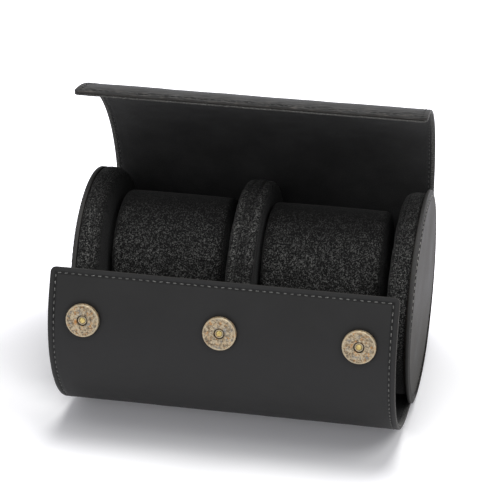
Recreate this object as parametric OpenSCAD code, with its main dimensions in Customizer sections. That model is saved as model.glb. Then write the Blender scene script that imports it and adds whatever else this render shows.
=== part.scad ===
// Two-place watch travel case: a leather wrap around round padded end walls, with soft pillows inside.

/* [Case] */
// Width of the leather wrap, along the case
case_width = 155; // [145:1:165]
// Radius of the round end walls and the divider
wall_radius = 46.8; // [42:0.1:51]
// Thickness of the outer leather
leather_thickness = 1.2; // [1.1:0.05:1.3]
// Thickness of the velvet lining
lining_thickness = 0.8; // [0.7:0.05:0.9]
// Radius of the free corners of the leather
corner_radius = 2.6; // [1:0.2:6]
// Extra width of the lid at each side of its free edge
lid_flare = 2.6; // [0.2:0.2:4]

/* [End walls] */
// Thickness of the velvet pad of an end wall
pad_thickness = 9.7; // [8:0.1:11]
// Thickness of the leather disc on the outside of an end wall
disc_thickness = 2.3; // [1.6:0.1:2.6]
// Distance of the disc's outer face inside the wrap's edge
disc_inset = 0.3; // [0:0.1:1]
// Thickness of the stiff board set into the pad
board_thickness = 1.8; // [1:0.1:2.5]
// Rim left between the board and the pad's edge
board_rim = 2.6; // [2:0.1:5]
// Rounding of the pad's inner edge
pad_round = 2.6; // [1:0.1:4]

/* [Divider] */
// Full thickness of the divider
divider_thickness = 12; // [11:0.5:14]
// Width of the strip between the divider's two seams
gusset_width = 4.4; // [3:0.1:4.6]
// Depth of the strip around the divider's board
gusset_depth = 3; // [2:0.1:5]
// Rounding of the divider's two edges
divider_round = 2.2; // [1:0.1:2.2]

/* [Pillows] */
// Radius of a pillow
pillow_radius = 28.5; // [24:0.5:30]
// Room left for the pillow's domes and end gaps along its compartment
pillow_slack = 5.8; // [4:0.1:12]
// Height of the soft dome on each end of a pillow
pillow_dome = 0.8; // [0.4:0.1:1]
// Rounding of a pillow's end edges
pillow_round = 3.2; // [2:0.1:5]
// Thickness of a pillow's velvet cover
cover_thickness = 2; // [1.6:0.1:2.4]
// Height of a pillow's centre above the centre of the end walls
pillow_rise = 9.7; // [6:0.1:9.8]
// Gap between a pillow's left dome and the pad beside it
pillow_gap = 0.4; // [0.3:0.1:1]

/* [Snaps] */
// Radius of a snap's metal face
snap_radius = 7.5; // [6:0.1:8]
// Thickness of the snap half on the front flap
socket_thickness = 2.4; // [2.2:0.1:2.6]
// Thickness of the snap half inside the lid
stud_thickness = 1.8; // [1.5:0.1:1.8]
// Distance between neighbouring snaps
snap_pitch = 61.4; // [50:0.1:64]
// Distance from the flap's edge to the snaps
snap_edge = 22.7; // [20:0.1:26]
// Radius of the socket's recess
recess_radius = 2.5; // [2.3:0.1:3]
// Height of the stud's nub
nub_height = 0.6; // [0.4:0.1:0.7]
// Radius of the rivet that holds a snap
rivet_radius = 1.3; // [1:0.1:1.5]
// Gap between the faces of a closed snap
snap_air = 0.15; // [0.1:0.05:0.4]

/* [Hidden] */
$fn = 96;
eps = 0.01;
wrap = leather_thickness + lining_thickness;
centre = wall_radius + wrap;
half = case_width / 2;
sample = 2.5;             // spacing of points along a curved sheet
seat_flat = 3;            // the leather is pressed flat this far behind its lowest line
bend_gap = 0.3;           // each sheet stops this far from its bend line
fit = 0.05;               // clearance around rivets and washers
size_ratio = centre / 48.8; // the sheet's shape is stated for this radius of the wrap
// open shape of the front flap, as [length, radius] from the lowest point; radius 0 is straight
flap_path = size_ratio * [[16, 0], [35.36, 92.5], [78.33, 51], [16, 100]];
flap_bends = size_ratio * [6, 20, 37];
flap_turns = [10.5, 10.2, 17.8];
// open shape of the lid, from the rearmost point of the wrap
lid_path = size_ratio * [[16.1, 0], [25.66, 105], [58.36, 76], [31, 60]];
lid_bends = size_ratio * [7, 30, 58, 88];
lid_turns = [14.3, 17.3, 6.4, 16.6];
flap_length = total(flap_path);
lid_length = total(lid_path);
flap_start = [0, 0];
lid_start = [centre, centre];
board_radius = wall_radius - board_rim;
pad_outer = half - disc_inset - disc_thickness;
pad_inner = pad_outer - pad_thickness;
lid_slope = 39;           // slope of the line from the lid's bend line to its free edge
magnet_inner = recess_radius + 0.5;
magnet_outer = snap_radius - 0.9;
magnet_thickness = 1.25;
snap_seat = 0.6;          // depth that the socket's back sinks into the leather
snap_chamfer = 0.45;
recess_depth = 1.2;
eyelet_radius = 1.95;
eyelet_height = 0.4;
nub_radius = recess_radius - 0.3;
rivet_top = 0.3;          // height of a rivet's head above the floor around it
washer_radius = 4.5;
washer_thickness = 0.3;
washer_drop = 0.25;       // gap between the socket's washer and the leather above its middle
washer_sink = 0.2;        // depth of the stud's washer under the lining
socket_foot = snap_seat - leather_thickness - washer_drop - washer_thickness;
stud_foot = -stud_thickness - lining_thickness - washer_sink;
seam_depth = 0.5;         // depth and half width of a sewn seam's groove
seam_half = 0.35;
board_floor = pad_thickness - board_thickness - fit;
seam_share = 0.36;        // place of the seam on an end wall's rim
corner_steps = 6;
edge_round = 0.5;         // worn edge of a leather disc
pillow_length = pad_inner - divider_thickness / 2 - pillow_slack;
pillow_centre = centre + pillow_rise;
pillow_left = -pad_inner + pillow_gap + pillow_dome + pillow_length / 2;
pillow_right = divider_thickness / 2 + pillow_gap + pillow_dome + pillow_length / 2;
core_radius = pillow_radius - cover_thickness;
core_half = pillow_length / 2 - cover_thickness;
leather_color = "#2b2b2b";
lining_color = "#161616";
velvet_color = "#1c1c1c";
board_color = "#8a7a62";
foam_color = "#5b5b58";
brass_color = "#8d7a55";
rivet_color = "#b59a4a";
steel_color = "#9a9a9c";

// ---- geometry of a sheet that lies along a path in the YZ plane ----

function sum(list, i = 0) = i == len(list) ? 0 : list[i] + sum(list, i + 1);
function total(path) = sum([for (piece = path) piece[0]]);

// one step of length d and radius r from [point, angle]; side is -1 to the front and 1 to the back
function step(at, d, r, side) =
  r == 0
    ? [at[0] + d * [side * cos(at[1]), sin(at[1])], at[1]]
    : let (t = at[1] + d / r * 180 / PI)
      [at[0] + r * [side * (sin(t) - sin(at[1])), cos(at[1]) - cos(t)], t];

// [point, angle] at distance s along a path
function along(path, s, at, side, i = 0) =
  i == len(path) - 1 || s <= path[i][0]
    ? step(at, s, path[i][1], side)
    : along(path, s - path[i][0], step(at, path[i][0], path[i][1], side), side, i + 1);

function outward(at, side) = [side * sin(at[1]), -cos(at[1])];
function flap_at(s) = along(flap_path, s, [flap_start, 0], -1);
function lid_at(s) = along(lid_path, s, [lid_start, 90], 1);
function flap_point(s, depth) = flap_at(s)[0] - depth * outward(flap_at(s), -1);
function lid_point(s, depth) = lid_at(s)[0] - depth * outward(lid_at(s), 1);

// points of the outline between two distances along the sheet and two depths under its outer face
function band(from, to, top, under, lid) =
  let (n = ceil((to - from) / sample),
       s = [for (i = [0 : n]) from + (to - from) * i / n])
  concat([for (i = [0 : n]) lid ? lid_point(s[i], top) : flap_point(s[i], top)],
         [for (i = [n : -1 : 0]) lid ? lid_point(s[i], under) : flap_point(s[i], under)]);

function turned(p, pivot, a) =
  let (d = p - pivot) pivot + [d[0] * cos(a) - d[1] * sin(a), d[0] * sin(a) + d[1] * cos(a)];

// a point fixed to the flap, after the flap closes
function flap_closed(p, i) =
  i < 0 ? p : flap_closed(turned(p, flap_point(flap_bends[i], wrap / 2), -flap_turns[i]), i - 1);

// a point of the closed lid, taken back to where it is when the lid is open
function lid_opened(p, i = 0) =
  i == len(lid_bends) ? p
    : lid_opened(turned(p, lid_point(lid_bends[i], wrap / 2), -lid_turns[i]), i + 1);

snap_on_flap = flap_length - snap_edge;
socket_at = flap_at(snap_on_flap);
socket_normal = outward(socket_at, -1);
socket_angle = atan2(socket_normal[1], socket_normal[0]);
socket_base = flap_point(snap_on_flap, snap_seat);
socket_top = socket_base + (socket_thickness + snap_air) * socket_normal;
stud_top = lid_opened(flap_closed(socket_top, len(flap_bends) - 1));
stud_angle = socket_angle - sum(flap_turns) - sum(lid_turns) + 180;

// a flat shape in the YZ plane, extruded along the case
module along_case(width) {
  rotate([90, 0, 90]) linear_extrude(width, center = true) children();
}

// a disc or ring profile in [radius, x], turned about the axis of the end walls
module about_axis() {
  translate([0, 0, centre]) rotate([0, 90, 0]) rotate_extrude() children();
}

function arc(c, r, from, to, n) = [for (i = [0 : n]) c + r * [cos(from + (to - from) * i / n),
                                                              sin(from + (to - from) * i / n)]];

// ---- places of the snaps ----

// children stand at a point of the YZ plane, with their Z axis at an angle from +Y
module pose(point, angle) {
  translate([0, point[0], point[1]]) rotate([angle - 90, 0, 0]) children();
}

module at_sockets() {
  for (i = [-1 : 1]) translate([i * snap_pitch, 0, 0]) pose(socket_base, socket_angle) children();
}

module at_studs() {
  for (i = [-1 : 1]) translate([i * snap_pitch, 0, 0]) pose(stud_top, stud_angle) children();
}

// ---- outlines that trim the sheets ----

// the flap's outline in the XZ plane, with two rounded free corners
module flap_outline() {
  top = flap_point(flap_length, 0)[1] + eps;
  rotate([90, 0, 0]) linear_extrude(6 * centre, center = true)
    polygon(concat([[half, -centre], [-half, -centre]],
      arc([-half + corner_radius, top - corner_radius], corner_radius, 180, 90, corner_steps),
      arc([half - corner_radius, top - corner_radius], corner_radius, 90, 0, corner_steps)));
}

// the lid's outline seen square to its slope: it widens evenly towards the free edge
module lid_outline() {
  rise = [-cos(lid_slope), sin(lid_slope)];
  low = lid_point(lid_bends[1], 0) * rise;
  high = lid_point(lid_length, 0) * rise;
  rotate([180 - lid_slope, 0, 0]) linear_extrude(8 * centre, center = true)
    polygon([[-half, -4 * centre], [half, -4 * centre], [half, low], [half + lid_flare, high],
             [half + lid_flare, 4 * centre], [-half - lid_flare, 4 * centre], [-half - lid_flare, high],
             [-half, low]]);
}

// the lip's outline in plan, with two rounded free corners
module lip_outline() {
  edge = lid_point(lid_length, wrap)[0] - eps;
  wide = half + lid_flare;
  linear_extrude(8 * centre, center = true)
    polygon(concat([[wide, 2 * centre], [-wide, 2 * centre]],
      arc([-wide + corner_radius, edge + corner_radius], corner_radius, 180, 270, corner_steps),
      arc([wide - corner_radius, edge + corner_radius], corner_radius, 270, 360, corner_steps)));
}

// ---- the wrap ----

module flap_sheet(from, to, top, under) {
  intersection() {
    along_case(case_width) polygon(band(from + bend_gap, min(to, flap_length), top, under, false));
    flap_outline();
  }
}

module lid_sheet(from, to, top, under) {
  intersection() {
    along_case(case_width + 2 * lid_flare) polygon(band(from + bend_gap, to, top, under, true));
    lid_outline();
  }
}

// the part of the wrap that is fixed round the bottom and back of the end walls, with a flat base
module fixed_sheet(outer, inner, flat) {
  along_case(case_width) {
    difference() {
      translate([0, centre]) circle(outer);
      translate([0, centre]) circle(inner);
      translate([-2 * centre, -centre]) square([2 * centre, 4 * centre]);
      translate([-centre, centre]) square([4 * centre, 2 * centre]);
    }
    translate([-flap_bends[0] + bend_gap, centre - outer])
      square([flap_bends[0] - bend_gap + flat, outer - inner]);
    translate([inner, centre]) square([outer - inner, lid_bends[0] - bend_gap]);
  }
}

module wrap_leather() color(leather_color) fixed_sheet(centre, wall_radius + lining_thickness, seat_flat);
module wrap_lining() color(lining_color) fixed_sheet(wall_radius + lining_thickness, wall_radius, 0);

module heel_leather()
  color(leather_color) flap_sheet(flap_bends[0], flap_bends[1] - bend_gap, 0, leather_thickness);
module heel_lining()
  color(lining_color) flap_sheet(flap_bends[0], flap_bends[1] - bend_gap, leather_thickness, wrap);
module toe_leather()
  color(leather_color) flap_sheet(flap_bends[1], flap_bends[2] - bend_gap, 0, leather_thickness);
module toe_lining()
  color(lining_color) flap_sheet(flap_bends[1], flap_bends[2] - bend_gap, leather_thickness, wrap);

module flap_leather()
  color(leather_color) difference() {
    flap_sheet(flap_bends[2], flap_length, 0, leather_thickness);
    at_sockets() {
      cylinder(r = snap_radius + fit, h = socket_thickness);
      translate([0, 0, -wrap]) cylinder(r = rivet_radius + fit, h = 2 * wrap);
    }
  }

module flap_lining()
  color(lining_color) difference() {
    flap_sheet(flap_bends[2], flap_length, leather_thickness, wrap);
    at_sockets() translate([0, 0, socket_foot - fit]) cylinder(r = washer_radius + fit, h = wrap);
  }

module lid_heel_leather()
  color(leather_color) lid_sheet(lid_bends[0], lid_bends[1] - bend_gap, 0, leather_thickness);
module lid_heel_lining()
  color(lining_color) lid_sheet(lid_bends[0], lid_bends[1] - bend_gap, leather_thickness, wrap);
module lid_back_leather()
  color(leather_color) lid_sheet(lid_bends[1], lid_bends[2] - bend_gap, 0, leather_thickness);
module lid_back_lining()
  color(lining_color) lid_sheet(lid_bends[1], lid_bends[2] - bend_gap, leather_thickness, wrap);
module lid_bow_leather()
  color(leather_color) lid_sheet(lid_bends[2], lid_bends[3] - bend_gap, 0, leather_thickness);
module lid_bow_lining()
  color(lining_color) lid_sheet(lid_bends[2], lid_bends[3] - bend_gap, leather_thickness, wrap);

module lid_lip_leather()
  color(leather_color) difference() {
    intersection() {
      lid_sheet(lid_bends[3], lid_length, 0, leather_thickness);
      lip_outline();
    }
    at_studs() {
      translate([0, 0, stud_foot - fit]) cylinder(r = washer_radius + fit, h = wrap);
      translate([0, 0, -stud_thickness - fit]) cylinder(r = snap_radius + fit, h = stud_thickness);
    }
  }

module lid_lip_lining()
  color(lining_color) difference() {
    intersection() {
      lid_sheet(lid_bends[3], lid_length, leather_thickness, wrap);
      lip_outline();
    }
    at_studs() {
      translate([0, 0, stud_foot]) cylinder(r = rivet_radius + fit, h = -stud_foot);
      translate([0, 0, -stud_thickness - fit]) cylinder(r = snap_radius + fit, h = stud_thickness);
    }
  }

// ---- end walls ----

// outline of a pad in [radius, distance from its inner face]
function pad_outline() =
  concat([[0, 0]], arc([wall_radius - pad_round, pad_round], pad_round, 270, 360, corner_steps),
    seam_notch(pad_thickness * seam_share),
    [[wall_radius, pad_thickness], [board_radius + fit, pad_thickness],
     [board_radius + fit, board_floor], [0, board_floor]]);

function seam_notch(at) =
  [[wall_radius, at - seam_half], [wall_radius - seam_depth, at], [wall_radius, at + seam_half]];

module end_pad() color(velvet_color) about_axis() translate([0, pad_inner]) polygon(pad_outline());

module end_board()
  color(board_color) about_axis()
    translate([0, pad_outer - board_thickness]) square([board_radius, board_thickness]);

module end_disc()
  color(leather_color) about_axis() translate([0, pad_outer])
    polygon(concat([[0, 0], [wall_radius, 0]],
      arc([wall_radius - edge_round, disc_thickness - edge_round], edge_round, 0, 90, corner_steps),
      [[0, disc_thickness]]));

module end_disc_left() mirror([1, 0, 0]) end_disc();
module end_disc_right() end_disc();
module end_board_left() mirror([1, 0, 0]) end_board();
module end_board_right() end_board();
module end_pad_left() mirror([1, 0, 0]) end_pad();
module end_pad_right() end_pad();

// ---- divider ----

module divider_board()
  color(board_color) about_axis() translate([0, -gusset_width / 2])
    square([wall_radius - gusset_depth, gusset_width]);

module divider_gusset()
  color(velvet_color) about_axis() polygon([
    [wall_radius - gusset_depth, -gusset_width / 2], [wall_radius - seam_depth, -gusset_width / 2],
    [wall_radius, seam_half - gusset_width / 2], [wall_radius, gusset_width / 2 - seam_half],
    [wall_radius - seam_depth, gusset_width / 2], [wall_radius - gusset_depth, gusset_width / 2]]);

module divider_face()
  color(velvet_color) about_axis() polygon(concat(
    [[0, gusset_width / 2], [wall_radius - seam_depth, gusset_width / 2],
     [wall_radius, gusset_width / 2 + seam_half]],
    arc([wall_radius - divider_round, divider_thickness / 2 - divider_round], divider_round, 0, 90,
      corner_steps),
    [[0, divider_thickness / 2]]));

module divider_face_left() mirror([1, 0, 0]) divider_face();
module divider_face_right() divider_face();

// ---- pillows ----

module about_pillow(x) {
  translate([x, 0, pillow_centre]) rotate([0, 90, 0]) rotate_extrude() children();
}

dome_edge = pillow_radius - pillow_round;
dome_radius = (dome_edge * dome_edge + pillow_dome * pillow_dome) / (2 * pillow_dome);
dome_angle = asin(dome_edge / dome_radius);

// half of a pillow's outline in [radius, distance from its middle], from its side to the tip of the dome
pillow_end =
  concat(arc([dome_edge, pillow_length / 2 - pillow_round], pillow_round, 0, 90, corner_steps),
    arc([0, pillow_length / 2 + pillow_dome - dome_radius], dome_radius, 90 - dome_angle, 90,
      corner_steps));

module pillow_cover(x)
  color(velvet_color) about_pillow(x) difference() {
    polygon(concat(pillow_end,
      [for (i = [len(pillow_end) - 1 : -1 : 0]) [pillow_end[i][0], -pillow_end[i][1]]]));
    translate([-core_radius, -core_half]) square([2 * core_radius, 2 * core_half]);
  }

module pillow_core(x)
  color(foam_color) about_pillow(x)
    translate([0, fit - core_half]) square([core_radius - fit, 2 * (core_half - fit)]);

module pillow_cover_left() pillow_cover(pillow_left);
module pillow_core_left() pillow_core(pillow_left);
module pillow_cover_right() pillow_cover(pillow_right);
module pillow_core_right() pillow_core(pillow_right);

// ---- snaps ----

module socket_faces()
  color(brass_color) at_sockets() rotate_extrude() polygon([
    [rivet_radius + fit, 0], [magnet_inner, 0], [magnet_inner, magnet_thickness + fit],
    [magnet_outer, magnet_thickness + fit], [magnet_outer, 0], [snap_radius - snap_chamfer / 2, 0],
    [snap_radius, snap_chamfer / 2], [snap_radius, socket_thickness - snap_chamfer],
    [snap_radius - snap_chamfer, socket_thickness], [recess_radius, socket_thickness],
    [recess_radius, socket_thickness - recess_depth], [eyelet_radius, socket_thickness - recess_depth],
    [eyelet_radius, socket_thickness - recess_depth + eyelet_height],
    [rivet_radius + fit, socket_thickness - recess_depth + eyelet_height]]);

module socket_magnets()
  color(steel_color) at_sockets() difference() {
    cylinder(r = magnet_outer - fit, h = magnet_thickness);
    translate([0, 0, -eps]) cylinder(r = magnet_inner + fit, h = magnet_thickness + 2 * eps);
  }

module socket_rivets()
  color(rivet_color) at_sockets() translate([0, 0, socket_foot])
    cylinder(r = rivet_radius, h = socket_thickness - recess_depth + rivet_top - socket_foot);

module washer() {
  difference() {
    cylinder(r = washer_radius, h = washer_thickness);
    translate([0, 0, -eps]) cylinder(r = rivet_radius + fit, h = washer_thickness + 2 * eps);
  }
}

module socket_washers() color(steel_color) at_sockets() translate([0, 0, socket_foot]) washer();

module stud_faces()
  color(brass_color) at_studs() rotate_extrude() polygon([
    [rivet_radius + fit, -stud_thickness], [snap_radius - snap_chamfer, -stud_thickness],
    [snap_radius, snap_chamfer - stud_thickness], [snap_radius, -snap_chamfer / 2],
    [snap_radius - snap_chamfer / 2, 0], [nub_radius, 0], [nub_radius, nub_height],
    [rivet_radius + fit, nub_height]]);

module stud_rivets()
  color(rivet_color) at_studs() translate([0, 0, stud_foot])
    cylinder(r = rivet_radius, h = nub_height - rivet_top - stud_foot);

module stud_washers() color(steel_color) at_studs() translate([0, 0, stud_foot]) washer();

wrap_leather();
wrap_lining();
end_disc_left();
end_disc_right();
end_board_left();
end_board_right();
end_pad_left();
end_pad_right();
divider_board();
divider_gusset();
divider_face_left();
divider_face_right();
heel_leather();
heel_lining();
toe_leather();
toe_lining();
flap_leather();
flap_lining();
socket_faces();
socket_magnets();
socket_rivets();
socket_washers();
lid_heel_leather();
lid_heel_lining();
lid_back_leather();
lid_back_lining();
lid_bow_leather();
lid_bow_lining();
lid_lip_leather();
lid_lip_lining();
stud_faces();
stud_rivets();
stud_washers();
pillow_cover_left();
pillow_core_left();
pillow_cover_right();
pillow_core_right();
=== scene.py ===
"""Looks of a two-place watch travel case: a leather wrap, velvet end walls, divider and pillows, brass snaps.

Lengths are in millimetres in the case's own frame, and are turned into metres when a mesh is made.
The wrap is one sheet, described by t, the distance along its outer face: t is 0 on its lowest line,
negative towards the front flap's edge and positive round the back to the lid's edge.
"""
import math
from functools import partial

import bpy
import numpy as np
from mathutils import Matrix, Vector


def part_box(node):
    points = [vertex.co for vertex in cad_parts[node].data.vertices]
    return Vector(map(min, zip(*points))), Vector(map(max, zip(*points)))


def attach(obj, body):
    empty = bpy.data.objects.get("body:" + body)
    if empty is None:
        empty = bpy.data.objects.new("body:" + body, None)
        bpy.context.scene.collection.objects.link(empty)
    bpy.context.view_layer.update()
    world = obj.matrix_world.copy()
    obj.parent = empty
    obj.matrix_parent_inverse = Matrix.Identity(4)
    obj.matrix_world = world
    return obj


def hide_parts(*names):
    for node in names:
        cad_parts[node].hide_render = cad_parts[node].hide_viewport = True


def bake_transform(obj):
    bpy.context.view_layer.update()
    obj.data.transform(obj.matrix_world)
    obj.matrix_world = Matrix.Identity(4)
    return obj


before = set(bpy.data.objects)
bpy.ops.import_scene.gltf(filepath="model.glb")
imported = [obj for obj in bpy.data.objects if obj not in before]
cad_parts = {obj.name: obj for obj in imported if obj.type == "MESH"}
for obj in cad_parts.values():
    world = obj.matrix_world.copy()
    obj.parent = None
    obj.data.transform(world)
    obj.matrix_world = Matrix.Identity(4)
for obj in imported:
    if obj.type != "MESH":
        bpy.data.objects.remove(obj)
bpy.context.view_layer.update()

MM = 0.001
TURN = 2 * math.pi
rng = np.random.default_rng(7)           # hand tension of the stitches


def box_mm(node):
    """Lowest and highest corner of a CAD node, in millimetres."""
    low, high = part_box(node)
    return np.array(low) / MM, np.array(high) / MM


# ---------------- Sizes

# half the wrap's width, and its outer radius where it is fixed
HALF_WIDTH, WRAP_RADIUS, _ = box_mm("wrap_leather")[1]
AXIS_Z = WRAP_RADIUS                     # height of the axis of the end walls
LEATHER = 1.2                            # thickness of the leather
LINING = 0.8                             # thickness of the lining
SHEET = LEATHER + LINING

# The open curve of the flap and of the lid, as (length, radius) pieces; radius 0 is straight.
FLAP = ((16.0, 0.0), (35.36, 92.5), (78.33, 51.0), (16.0, 100.0))
LID = ((16.1, 0.0), (25.66, 105.0), (58.36, 76.0), (31.0, 60.0))
QUARTER = math.pi / 2 * WRAP_RADIUS
T_FRONT = -sum(length for length, _ in FLAP)
T_BACK = QUARTER + sum(length for length, _ in LID)
CURVE_POINTS = 3516                      # points along the curve, 0.1 mm apart
FLAP_BENDS = (6.0, 20.0, 37.0)
LID_BENDS = (7.0, 30.0, 58.0, 88.0)
BEND_REACH = 6.0                         # a bend is spread this far to each side of its line
LID_SLOPE = math.radians(39)             # the lid widens along this slope
LID_FLARE = 2.6
CORNER = 2.6                             # radius of the free corners

STITCH_INSET = 2.7                       # distance of the stitches from an edge
STITCH_PITCH = 3.0
STITCH_LENGTH = 1.75
THREAD = 0.5                             # width of the thread
RIM_STITCHES = 120                       # stitches round the seam of a pad or of the divider
SNAP_RADIUS = 7.5
SNAP_PITCH = 61.4
SNAP_EDGE = 22.7                         # distance of the snaps from the flap's edge
SOCKET_SEAT = 0.6                        # depth that a socket sinks into the leather

PAD_LOW, PAD_HIGH = box_mm("end_pad_right")
PAD_IN, PAD_OUT = PAD_LOW[0], PAD_HIGH[0]
WALL_RADIUS = (PAD_HIGH[1] - PAD_LOW[1]) / 2
PAD_SEAM = PAD_IN + (PAD_OUT - PAD_IN) * 0.36
DISC_OUT = box_mm("end_disc_right")[1][0]
DIVIDER_SEAM = box_mm("divider_gusset")[1][0]
DIVIDER_OUT = box_mm("divider_face_right")[1][0]

# ---------------- Materials


def linear(code):
    """An sRGB hex colour as linear RGBA."""
    parts = [int(code[i:i + 2], 16) / 255 for i in (1, 3, 5)]
    return [c / 12.92 if c <= 0.04045 else ((c + 0.055) / 1.055) ** 2.4 for c in parts] + [1.0]


def add_node(tree, kind, slots=None, stops=(), **named):
    """Adds one node. Named values with a capital go to its sockets, with _ for a space, and the others are
    its own properties; slots go to its sockets by number. A value is a number, a hex colour, an output, or
    a node, which stands for its first live output. Stops are a colour ramp's (position, grey level or hex
    colour) pairs. A Mix node mixes colours: slot 0 is its factor, 6 and 7 are its colours."""
    node = tree.nodes.new("ShaderNode" + kind)
    if kind == "Mix":
        node.data_type = "RGBA"
    sockets = dict(slots or {})
    for key, value in named.items():
        if key[0].isupper():
            sockets[key.replace("_", " ")] = value
        else:
            setattr(node, key, value)
    if stops:
        elements = node.color_ramp.elements
        while len(elements) < len(stops):
            elements.new(0.5)
        for element, (position, colour) in zip(elements, stops):
            element.position = position
            element.color = linear(colour) if isinstance(colour, str) else [colour] * 3 + [1.0]
    for key, value in sockets.items():
        if isinstance(value, bpy.types.Node):
            value = next(output for output in value.outputs if output.enabled)
        if isinstance(value, bpy.types.NodeSocket):
            tree.links.new(value, node.inputs[key])
        else:
            node.inputs[key].default_value = linear(value) if isinstance(value, str) else value
    return node


def new_material(name):
    """An empty node material, and the function that adds nodes to it."""
    material = bpy.data.materials.new(name)
    material.use_nodes = True
    material.node_tree.nodes.clear()
    return material, partial(add_node, material.node_tree)


def places(add, on_sheet=False):
    """Coordinates in millimetres: along the sheet's own map, or in the case's frame."""
    source = add("UVMap", uv_map="sheet") if on_sheet else add("TexCoord").outputs["Object"]
    return add("Mapping", Vector=source, Scale=(1.0 if on_sheet else 1 / MM,) * 3)


def two_tones(add, clouds, start, end, dark, pale):
    """Dark where a noise is under start, pale where it is over end, and mixed evenly in between."""
    return add("Mix", {0: add("ValToRGB", stops=[(start, 0.0), (end, 1.0)], Fac=clouds), 6: dark, 7: pale})


def closed(material, add, height, strength, depth, **sockets):
    """Ends a material with its Principled surface and a bump of the given height, depth mm deep."""
    bump = add("Bump", Height=height, Strength=strength, Distance=depth * MM)
    add("OutputMaterial", Surface=add("BsdfPrincipled", Normal=bump, **sockets))
    return material


def leather_material(name, on_sheet, body, worn, streak, edge, gloss):
    """Waxed full-grain cowhide, aniline dyed: smooth and matt, with a faint pebble grain of 0.9 mm, pores
    0.5 mm apart, and soft cloudy tone from the wax. A seam's groove is painted dark as shade, a border
    is rubbed to the worn tone, and a cut edge shows its fibres, painted paler as a highlight. Where the
    hide is creased, the wax is rubbed off in brown streaks along the fold."""
    material, add = new_material(name)
    at = places(add, on_sheet)
    cloud = add("TexNoise", Vector=at, Scale=0.045, Detail=4.0, Roughness=0.6)
    grain = add("TexVoronoi", feature="SMOOTH_F1", Vector=at, Scale=1.1, Smoothness=0.6)
    pores = add("TexNoise", Vector=at, Scale=1.9, Detail=3.0, Roughness=0.7)
    border, seam, creased, cut = (add("Attribute", attribute_name=layer).outputs["Fac"]
                                  for layer in ("border", "seam", "creased", "cut_edge"))
    along = add("Mapping", Vector=at, Scale=(0.16, 1.3, 1.0))
    folds = add("TexNoise", Vector=along, Scale=1.0, Detail=5.0, Roughness=0.65)
    rubbed = add("ValToRGB", stops=[(0.52, 0.0), (0.72, 0.8)], Fac=folds)
    rubbed = add("Math", {0: rubbed, 1: creased}, operation="MULTIPLY")
    speck = add("ValToRGB", stops=[(0.30, 0.86), (0.55, 1.0), (0.78, 1.16)], Fac=pores)
    tone = two_tones(add, cloud, 0.35, 0.66, body, worn)
    tone = add("Mix", {0: 1.0, 6: tone, 7: speck}, blend_type="MULTIPLY")
    # painted highlight: the cut edge's fibres are paler than the face, for the light they catch
    fibres_and_highlight = add("Mix", {0: pores, 6: edge[0], 7: edge[1]})
    # the seam mix paints shade into the stitch groove, near black
    for share, over in ((border, worn), (seam, "#070707"), (rubbed, streak), (cut, fibres_and_highlight)):
        tone = add("Mix", {0: share, 6: tone, 7: over})
    rough = add("MapRange", Value=cloud, From_Min=0.3, From_Max=0.7, To_Min=0.50, To_Max=0.62)
    grain, pores = (add("Math", {0: part, 1: share}, operation="MULTIPLY")
                    for part, share in ((grain, 0.6), (pores, 0.5)))
    height = add("Math", {0: grain, 1: pores}, operation="ADD")
    return closed(material, add, height, 0.32, 0.12, Base_Color=tone, Roughness=rough,
                  Specular_IOR_Level=gloss)


def lining_material():
    """Black microfibre suede: short nap, nearly even, with fine fibres and faint brushed clouds, and pale
    fuzz along its borders."""
    material, add = new_material("microfibre_lining")
    at = places(add, True)
    cloud = add("TexNoise", Vector=at, Scale=0.06, Detail=3.0, Roughness=0.55)
    nap = add("TexNoise", Vector=at, Scale=2.2, Detail=3.0, Roughness=0.75)
    fibre = add("ValToRGB", stops=[(0.36, 0.72), (0.55, 1.0), (0.74, 1.7)], Fac=nap)
    base = two_tones(add, cloud, 0.36, 0.68, "#2d2d2d", "#353535")
    base = add("Mix", {0: 1.0, 6: base, 7: fibre}, blend_type="MULTIPLY")
    fuzz = two_tones(add, nap, 0.48, 0.70, "#30302f", "#a09f9b")
    border = add("Attribute", attribute_name="border").outputs["Fac"]
    border = add("Math", {0: border, 1: 1.8}, operation="MULTIPLY")
    base = add("Mix", {0: border, 6: base, 7: fuzz})
    return closed(material, add, nap, 0.5, 0.2, Base_Color=base, Roughness=0.92, Specular_IOR_Level=0.12,
                  Sheen_Weight=0.10, Sheen_Roughness=0.45)


def velvet_material():
    """Black flocked velvet: the pile is about 0.5 mm, in tufts of 0.45 mm, and the pale tips of some
    tufts show as specks. The nap layer paints light and shade on them: the specks are strong where the
    pile faces the light, and fade to dark, smooth pile where it lies in shade."""
    material, add = new_material("black_velvet")
    at = places(add)
    tufts = add("TexVoronoi", Vector=at, Scale=2.3, Randomness=1.0).outputs["Color"]
    tips = add("TexNoise", Vector=at, Scale=2.2, Detail=2.0, Roughness=0.8)
    clumps = add("TexNoise", Vector=at, Scale=0.22, Detail=3.0, Roughness=0.6)
    catch = add("Math", {0: add("ValToRGB", stops=[(0.56, 0.0), (0.90, 0.9)], Fac=tufts),
                         1: add("ValToRGB", stops=[(0.54, 0.0), (0.68, 0.35)], Fac=tips)}, operation="ADD")
    patch = add("ValToRGB", stops=[(0.34, 0.5), (0.66, 1.0)], Fac=clumps)
    catch = add("Mix", {0: 1.0, 6: catch, 7: patch}, blend_type="MULTIPLY")
    # painted light and shade: the nap layer scales the pale specks, strong where lit, dark where shaded
    painted_light_share = add("Attribute", attribute_name="nap").outputs["Fac"]
    catch = add("Math", {0: catch, 1: painted_light_share}, operation="MULTIPLY")
    base = add("Mix", {0: catch, 6: "#0f0f0f", 7: "#868683"})
    return closed(material, add, tips, 0.5, 0.3, Base_Color=base, Roughness=0.95, Specular_IOR_Level=0.10,
                  Sheen_Weight=0.04, Sheen_Roughness=0.5)


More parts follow.
